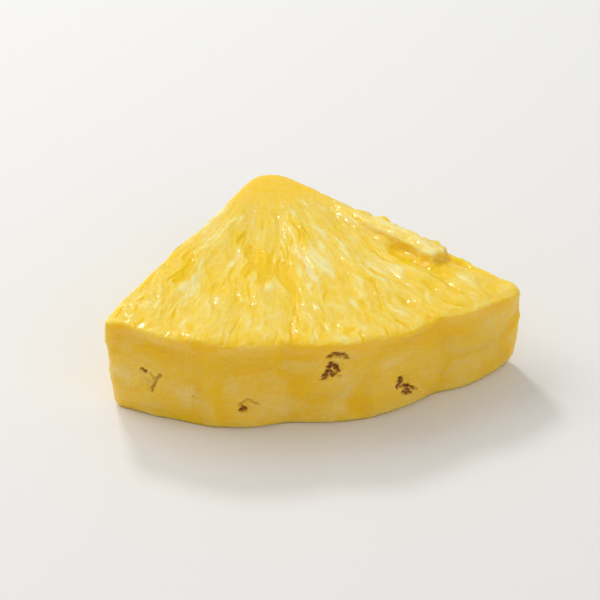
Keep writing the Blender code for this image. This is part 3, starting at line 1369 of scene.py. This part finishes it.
@dataclass
class Flesh:
    """The wedge's flesh, one closed mesh."""

    blank: Blank = field(default_factory=Blank)
    broad: BroadRelief = field(default_factory=BroadRelief)
    fine: FineRelief = field(default_factory=FineRelief)
    finish: FleshFinish = FleshFinish()
    coarse_voxel: float = 0.50 * MM
    coarse_rounds: int = 9
    fine_voxel: float = 0.25 * MM
    fine_rounds: int = 4
    rest_band: float = 0.20 * MM
    eye_reach: float = 3.2 * MM
    eye_ring: float = 0.965  # how far out the eyes lie, as a share of the radius
    moved: Vector = field(default_factory=Vector)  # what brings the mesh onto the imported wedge

    def broad_mesh(self) -> Mesh:
        """Rebuilds the plain wedge in small even faces and adds its broad relief.

        Returns:
            The mesh.
        """
        mesh = evened(self.blank.mesh(), self.coarse_voxel, self.coarse_rounds)
        normals = [vertex.normal.copy() for vertex in mesh.vertices]
        for vertex, normal in zip(mesh.vertices, normals):
            vertex.co += normal * self.broad.height(Spot(vertex.co, normal, self.blank.sizes))
            if vertex.co.z < self.rest_band:
                vertex.co.z = 0.0
        return mesh

    def shift(self, mesh: Mesh) -> Vector:
        """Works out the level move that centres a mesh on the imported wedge.

        Args:
            mesh: The mesh.

        Returns:
            The move.
        """
        low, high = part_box(NODE)
        xs = [vertex.co.x for vertex in mesh.vertices]
        ys = [vertex.co.y for vertex in mesh.vertices]
        own = Vector((min(xs) + max(xs), min(ys) + max(ys), 0.0)) / 2
        middle = (low + high) / 2
        return Vector((middle.x, middle.y, low.z)) - own

    def flatten_base(self, bm: BMesh) -> None:
        """Presses the base flat and joins its faces, which need no detail.

        Args:
            bm: The mesh to change.
        """
        for vertex in bm.verts:
            if vertex.co.z < self.rest_band:
                vertex.co.z = 0.0
        inside = [e for e in bm.edges if all(v.co.z == 0.0 for f in e.link_faces for v in f.verts)]
        bmesh.ops.dissolve_edges(bm, edges=inside, use_verts=True)
        bmesh.ops.triangulate(bm, faces=[f for f in bm.faces if len(f.verts) > 4], ngon_method="BEAUTY")

    def refine_eyes(self, bm: BMesh) -> None:
        """Divides the faces around the eyes, whose marks are finer than the rest.

        Args:
            bm: The mesh to change.
        """
        sizes = self.blank.sizes
        places = []
        for bearing, depth in self.broad.peel.eyes:
            place = outward(math.radians(bearing)) * sizes.radius * self.eye_ring
            place.z = sizes.top_at(place.x) - depth * MM
            places.append(place)
        near = [e for e in bm.edges if min((e.verts[0].co - p).length for p in places) < self.eye_reach]
        bmesh.ops.subdivide_edges(bm, edges=near, cuts=1, use_grid_fill=True)

    def shape(self, bm: BMesh) -> dict[str, list]:
        """Moves every point by the fine relief.

        Args:
            bm: The mesh, with the fruit's axis at x = y = 0.

        Returns:
            The attributes of its points, by name.
        """
        sizes = self.blank.sizes
        bm.normal_update()
        self.fine.scatter()
        read = ("tone", "wet", "stain", "olive")
        looks: dict[str, list] = {name: [] for name in (*read, "core", "peel", "grain")}
        moves = []
        for vertex in bm.verts:
            spot = Spot(vertex.co.copy(), vertex.normal, sizes)
            texture = self.fine.at(spot)
            moves.append(vertex.normal * texture.height + self.fine.raggedness(spot))
            for name in read:
                looks[name].append(getattr(texture, name))
            looks["core"].append(1.0 - smooth_step(0.7, 1.25, spot.distance / sizes.core_radius))
            looks["peel"].append(spot.peel)
            looks["grain"].extend((spot.bearing * ARC_RADIUS, spot.distance, self.fine.climb(spot)))
        for vertex, move in zip(bm.verts, moves):
            vertex.co += move
        return looks

    def build(self) -> Object:
        """Builds the flesh.

        Returns:
            The piece.
        """
        mesh = self.broad_mesh()
        self.moved = self.shift(mesh)
        bm = bmesh.new()
        bm.from_mesh(evened(mesh, self.fine_voxel, self.fine_rounds))
        self.flatten_base(bm)
        self.refine_eyes(bm)
        looks = self.shape(bm)
        bmesh.ops.translate(bm, verts=bm.verts[:], vec=self.moved)
        piece = finished("flesh", bm, FleshMaterial(self.finish).build())
        for name, values in looks.items():
            kind, key = ("FLOAT_VECTOR", "vector") if name == "grain" else ("FLOAT", "value")
            piece.data.attributes.new(name, kind, "POINT").data.foreach_set(key, values)
        return piece


class Surface:
    """The finished flesh, for finding where a smaller piece sits on it."""

    def __init__(self, flesh: Object, moved: Vector, sizes: SliceSizes) -> None:
        """Reads the flesh.

        Args:
            flesh: The flesh's object.
            moved: The move that brought the fruit's axis from x = y = 0 to where it is.
            sizes: The slice's sizes.
        """
        mesh = flesh.data
        points = [vertex.co for vertex in mesh.vertices]
        self.tree = BVHTree.FromPolygons(points, [tuple(face.vertices) for face in mesh.polygons])
        self.moved = moved
        self.sizes = sizes

    def hit(self, start: Vector, way: Vector) -> tuple[Vector, Vector]:
        """Finds the first place met along a line from outside.

        Args:
            start: Where the line starts.
            way: Its direction.

        Returns:
            The place, and the surface's normal there.
        """
        point, normal, _, _ = self.tree.ray_cast(start, way)
        if point is None:
            raise ValueError(f"nothing is met from {tuple(start)}")
        return point, normal

    def on_top(self, bearing: float, distance: float) -> tuple[Vector, Vector]:
        """Finds a place on the upper cut.

        Args:
            bearing: The place's bearing in degrees.
            distance: Its distance from the fruit's axis in millimetres.

        Returns:
            The place and its normal.
        """
        start = outward(math.radians(bearing)) * distance * MM + self.moved
        start.z = 2.0 * self.sizes.thickness
        return self.hit(start, Vector((0.0, 0.0, -1.0)))

    def on_peel(self, bearing: float, depth: float) -> tuple[Vector, Vector]:
        """Finds a place on the peeled side.

        Args:
            bearing: The place's bearing in degrees.
            depth: How far it is below the upper cut in millimetres.

        Returns:
            The place and its normal.
        """
        out = outward(math.radians(bearing))
        start = out * 1.2 * self.sizes.radius
        start.z = self.sizes.top_at(out.x * self.sizes.radius) - depth * MM
        return self.hit(start + self.moved, -out)


def framed(point: Vector, normal: Vector, along: Vector) -> Matrix:
    """Places a small thing on a surface.

    Args:
        point: Where its origin goes.
        normal: The surface's normal, which is its Z.
        along: The direction that its X follows.

    Returns:
        Its matrix.
    """
    z = normal.normalized()
    x = (along - along.project(z)).normalized()
    y = z.cross(x)
    turn = Matrix((x, y, z)).transposed().to_4x4()
    return Matrix.Translation(point) @ turn


@dataclass
class Specks:
    """Brown scraps left in the eyes."""

    surface: Surface
    seed: int = 5
    spacing: float = 0.32  # millimetres
    least_stain: float = 0.6
    most_olive: float = 0.5
    roughness: float = 0.22
    sunk: float = 0.02 * MM
    half_sizes: tuple[tuple[float, float], ...] = ((0.16, 0.30), (0.07, 0.13), (0.05, 0.09))
    """A scrap's least and largest half length, half width and half thickness, in millimetres."""

    def scrap(self, bm: BMesh, place: Matrix, size: Vector, dice: random.Random) -> None:
        """Adds one scrap.

        Args:
            bm: The mesh to add to.
            place: Where it lies.
            size: Its half lengths.
            dice: Where its roughness comes from.
        """
        verts = bmesh.ops.create_icosphere(bm, subdivisions=3, radius=1.0)["verts"]
        start = Vector([dice.uniform(-50, 50) for _ in range(3)])
        for vertex in verts:
            vertex.co *= 1.0 + self.roughness * noise.noise(vertex.co * 1.6 + start)
        shape = Matrix.Diagonal((*size, 1.0))
        bmesh.ops.transform(bm, matrix=place @ shape, verts=verts)

    def build(self) -> Object:
        """Builds the scraps as one piece.

        Returns:
            The piece.
        """
        dice = random.Random(self.seed)
        bm = bmesh.new()
        scale = self.surface.sizes.radius / MM
        for mark in MARKS:
            if mark.stain < self.least_stain or mark.olive > self.most_olive:
                continue
            bearing, depth = mark.end[0] - mark.start[0], mark.end[1] - mark.start[1]
            length = math.hypot(math.radians(bearing) * scale, depth)
            count = max(1, round(length / self.spacing))
            for step in range(count):
                t = (step + dice.uniform(0.2, 0.8)) / count
                middle = (mark.start[0] + t * bearing, mark.start[1] + t * depth)
                point, normal = self.surface.on_peel(*middle)
                around = sideways(math.radians(middle[0]))
                along = around * math.radians(bearing) * scale + Vector((0, 0, -depth))
                along += around.cross(outward(math.radians(middle[0]))) * dice.uniform(-0.4, 0.4)
                size = Vector([dice.uniform(*limits) for limits in self.half_sizes]) * MM
                self.scrap(bm, framed(point - normal * self.sunk, normal, along), size, dice)
        return finished("eye_specks", bm, SpeckFinish().material())


@dataclass
class Threads:
    """Loose threads of fibre at the two cuts' torn edges and on the upper cut."""

    surface: Surface
    seed: int = 8
    radius: float = 0.080 * MM
    sunk: float = 0.03 * MM
    steps: int = 9
    sides: int = 7
    groups: tuple[tuple[tuple[float, float], tuple[float, float], int], ...] = (
        ((38.0, 39.6), (15, 33), 5),
        ((-40.0, -38.6), (20, 44), 5),
        ((-34, 30), (20, 44), 4),
    )
    """Each group's bearings in degrees, distances from the fruit's axis in millimetres and count."""

    def thread(self, bm: BMesh, place: Matrix, length: float, curl: float, lift: float) -> None:
        """Adds one thread, which leaves the surface, bends sideways and comes back to it.

        Args:
            bm: The mesh to add to.
            place: Where it starts, with X along the fibres.
            length: Its length.
            curl: How far it turns sideways, in radians.
            lift: How high its middle stands, as a share of its length.
        """
        strand = bmesh.new()
        bmesh.ops.create_cone(
            strand,
            cap_ends=True,
            segments=self.sides,
            radius1=self.radius,
            radius2=0.35 * self.radius,
            depth=length,
        )
        long = [e for e in strand.edges if abs(e.verts[0].co.z - e.verts[1].co.z) > 0.5 * length]
        bmesh.ops.subdivide_edges(strand, edges=long, cuts=self.steps)
        for vertex in strand.verts:
            x, y, z = vertex.co
            t = z / length + 0.5
            turn = curl * t
            middle = Vector((math.cos(0.5 * turn), math.sin(0.5 * turn), 0.0)) * (t * length)
            middle.z = 4.0 * lift * length * t * (1.0 - t)
            vertex.co = middle + Vector((-math.sin(turn), math.cos(turn), 0.0)) * x + Vector((0, 0, y))
        bmesh.ops.transform(strand, matrix=place, verts=strand.verts[:])
        made = mesh_of("strand", strand)
        bm.from_mesh(made)
        bpy.data.meshes.remove(made)

    def build(self) -> Object:
        """Builds the threads as one piece.

        Returns:
            The piece.
        """
        dice = random.Random(self.seed)
        bm = bmesh.new()
        ranges = [(bearings, distances) for bearings, distances, count in self.groups for _ in range(count)]
        places = [(dice.uniform(*bearings), dice.uniform(*distances)) for bearings, distances in ranges]
        for bearing, distance in places:
            point, normal = self.surface.on_top(bearing, distance)
            along = outward(math.radians(bearing + dice.uniform(-14, 14)))
            length = dice.uniform(0.9, 2.2) * MM
            place = framed(point - normal * self.sunk, normal, along)
            self.thread(bm, place, length, dice.uniform(-0.9, 0.9), dice.uniform(0.0, 0.03))
        bmesh.ops.recalc_face_normals(bm, faces=bm.faces[:])
        return finished("loose_threads", bm, FibreFinish().material())


# ----------------------------------------
# The studio


@dataclass(frozen=True)
class Softbox:
    """A square light that faces the wedge."""

    name: str
    place: tuple[float, float, float]
    size: float
    power: float  # watts


@dataclass
class Studio:
    """A pale floor, soft light from behind on the left, and the camera."""

    azimuth: float = math.radians(-11)
    elevation: float = math.radians(36.5)
    reach: float = 0.60
    lens: float = 235.0
    aim: Vector = field(default_factory=lambda: Vector((0.0, 0.0, 0.0075)))
    floor_size: float = 3.0
    floor_colour: Colour = linear(233, 232, 229)
    floor_roughness: float = 0.75
    world_strength: float = 0.55
    softboxes: tuple[Softbox, ...] = (
        Softbox("key", (-0.34, 0.26, 0.52), 0.45, 1.45),
        Softbox("spark", (-0.09, 0.42, 0.44), 0.10, 1.05),
        Softbox("fill", (0.25, -0.60, 0.45), 0.60, 0.75),
    )

    def floor(self) -> None:
        """Adds the floor."""
        bm = bmesh.new()
        bmesh.ops.create_grid(bm, x_segments=1, y_segments=1, size=self.floor_size / 2)
        mesh = mesh_of("floor", bm)
        nodes = Nodes("floor")
        nodes.shade({"Base Color": self.floor_colour, "Roughness": self.floor_roughness})
        mesh.materials.append(nodes.material)
        placed("floor", mesh)

    def add(self, box: Softbox) -> None:
        """Adds a light.

        Args:
            box: What the light is.
        """
        light = bpy.data.lights.new(box.name, "AREA")
        light.shape = "SQUARE"
        light.size = box.size
        light.energy = box.power
        lamp = placed(box.name, light)
        lamp.location = box.place
        lamp.rotation_euler = (self.aim - Vector(box.place)).to_track_quat("-Z", "Y").to_euler()

    def light(self) -> None:
        """Adds the lights and the pale surroundings."""
        world = bpy.data.worlds.new("studio")
        bpy.context.scene.world = world
        world.use_nodes = True
        background = world.node_tree.nodes["Background"]
        background.inputs["Color"].default_value = (1.0, 1.0, 1.0, 1.0)
        background.inputs["Strength"].default_value = self.world_strength
        for box in self.softboxes:
            self.add(box)

    def camera(self) -> None:
        """Adds the camera."""
        data = bpy.data.cameras.new("camera")
        data.lens = self.lens
        data.clip_start = 0.01
        camera = placed("camera", data)
        direction = outward(self.azimuth) * math.cos(self.elevation)
        direction.z = math.sin(self.elevation)
        camera.location = self.aim + direction * self.reach
        camera.rotation_euler = (-direction).to_track_quat("-Z", "Y").to_euler()
        bpy.context.scene.camera = camera

    def build(self) -> None:
        """Builds the studio."""
        self.floor()
        self.light()
        self.camera()
        bpy.context.scene.view_settings.view_transform = "Standard"


def attach(piece: Object) -> None:
    """Puts a piece on the wedge's body.

    Args:
        piece: The piece.
    """
    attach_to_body(piece, BODY)
    log.info("%s: %d faces", piece.name, len(piece.data.polygons))


def main() -> None:
    """Builds the wedge's pieces and the studio."""
    logging.basicConfig(level=logging.INFO, format="%(name)s: %(message)s")
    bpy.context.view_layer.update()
    noise.seed_set(NOISE_SEED)
    flesh_part = Flesh()
    flesh = flesh_part.build()
    attach(flesh)
    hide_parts(NODE)
    surface = Surface(flesh, flesh_part.moved, flesh_part.blank.sizes)
    attach(Specks(surface).build())
    attach(Threads(surface).build())
    Studio().build()
    bpy.context.view_layer.update()


if __name__ == "__main__":
    main()
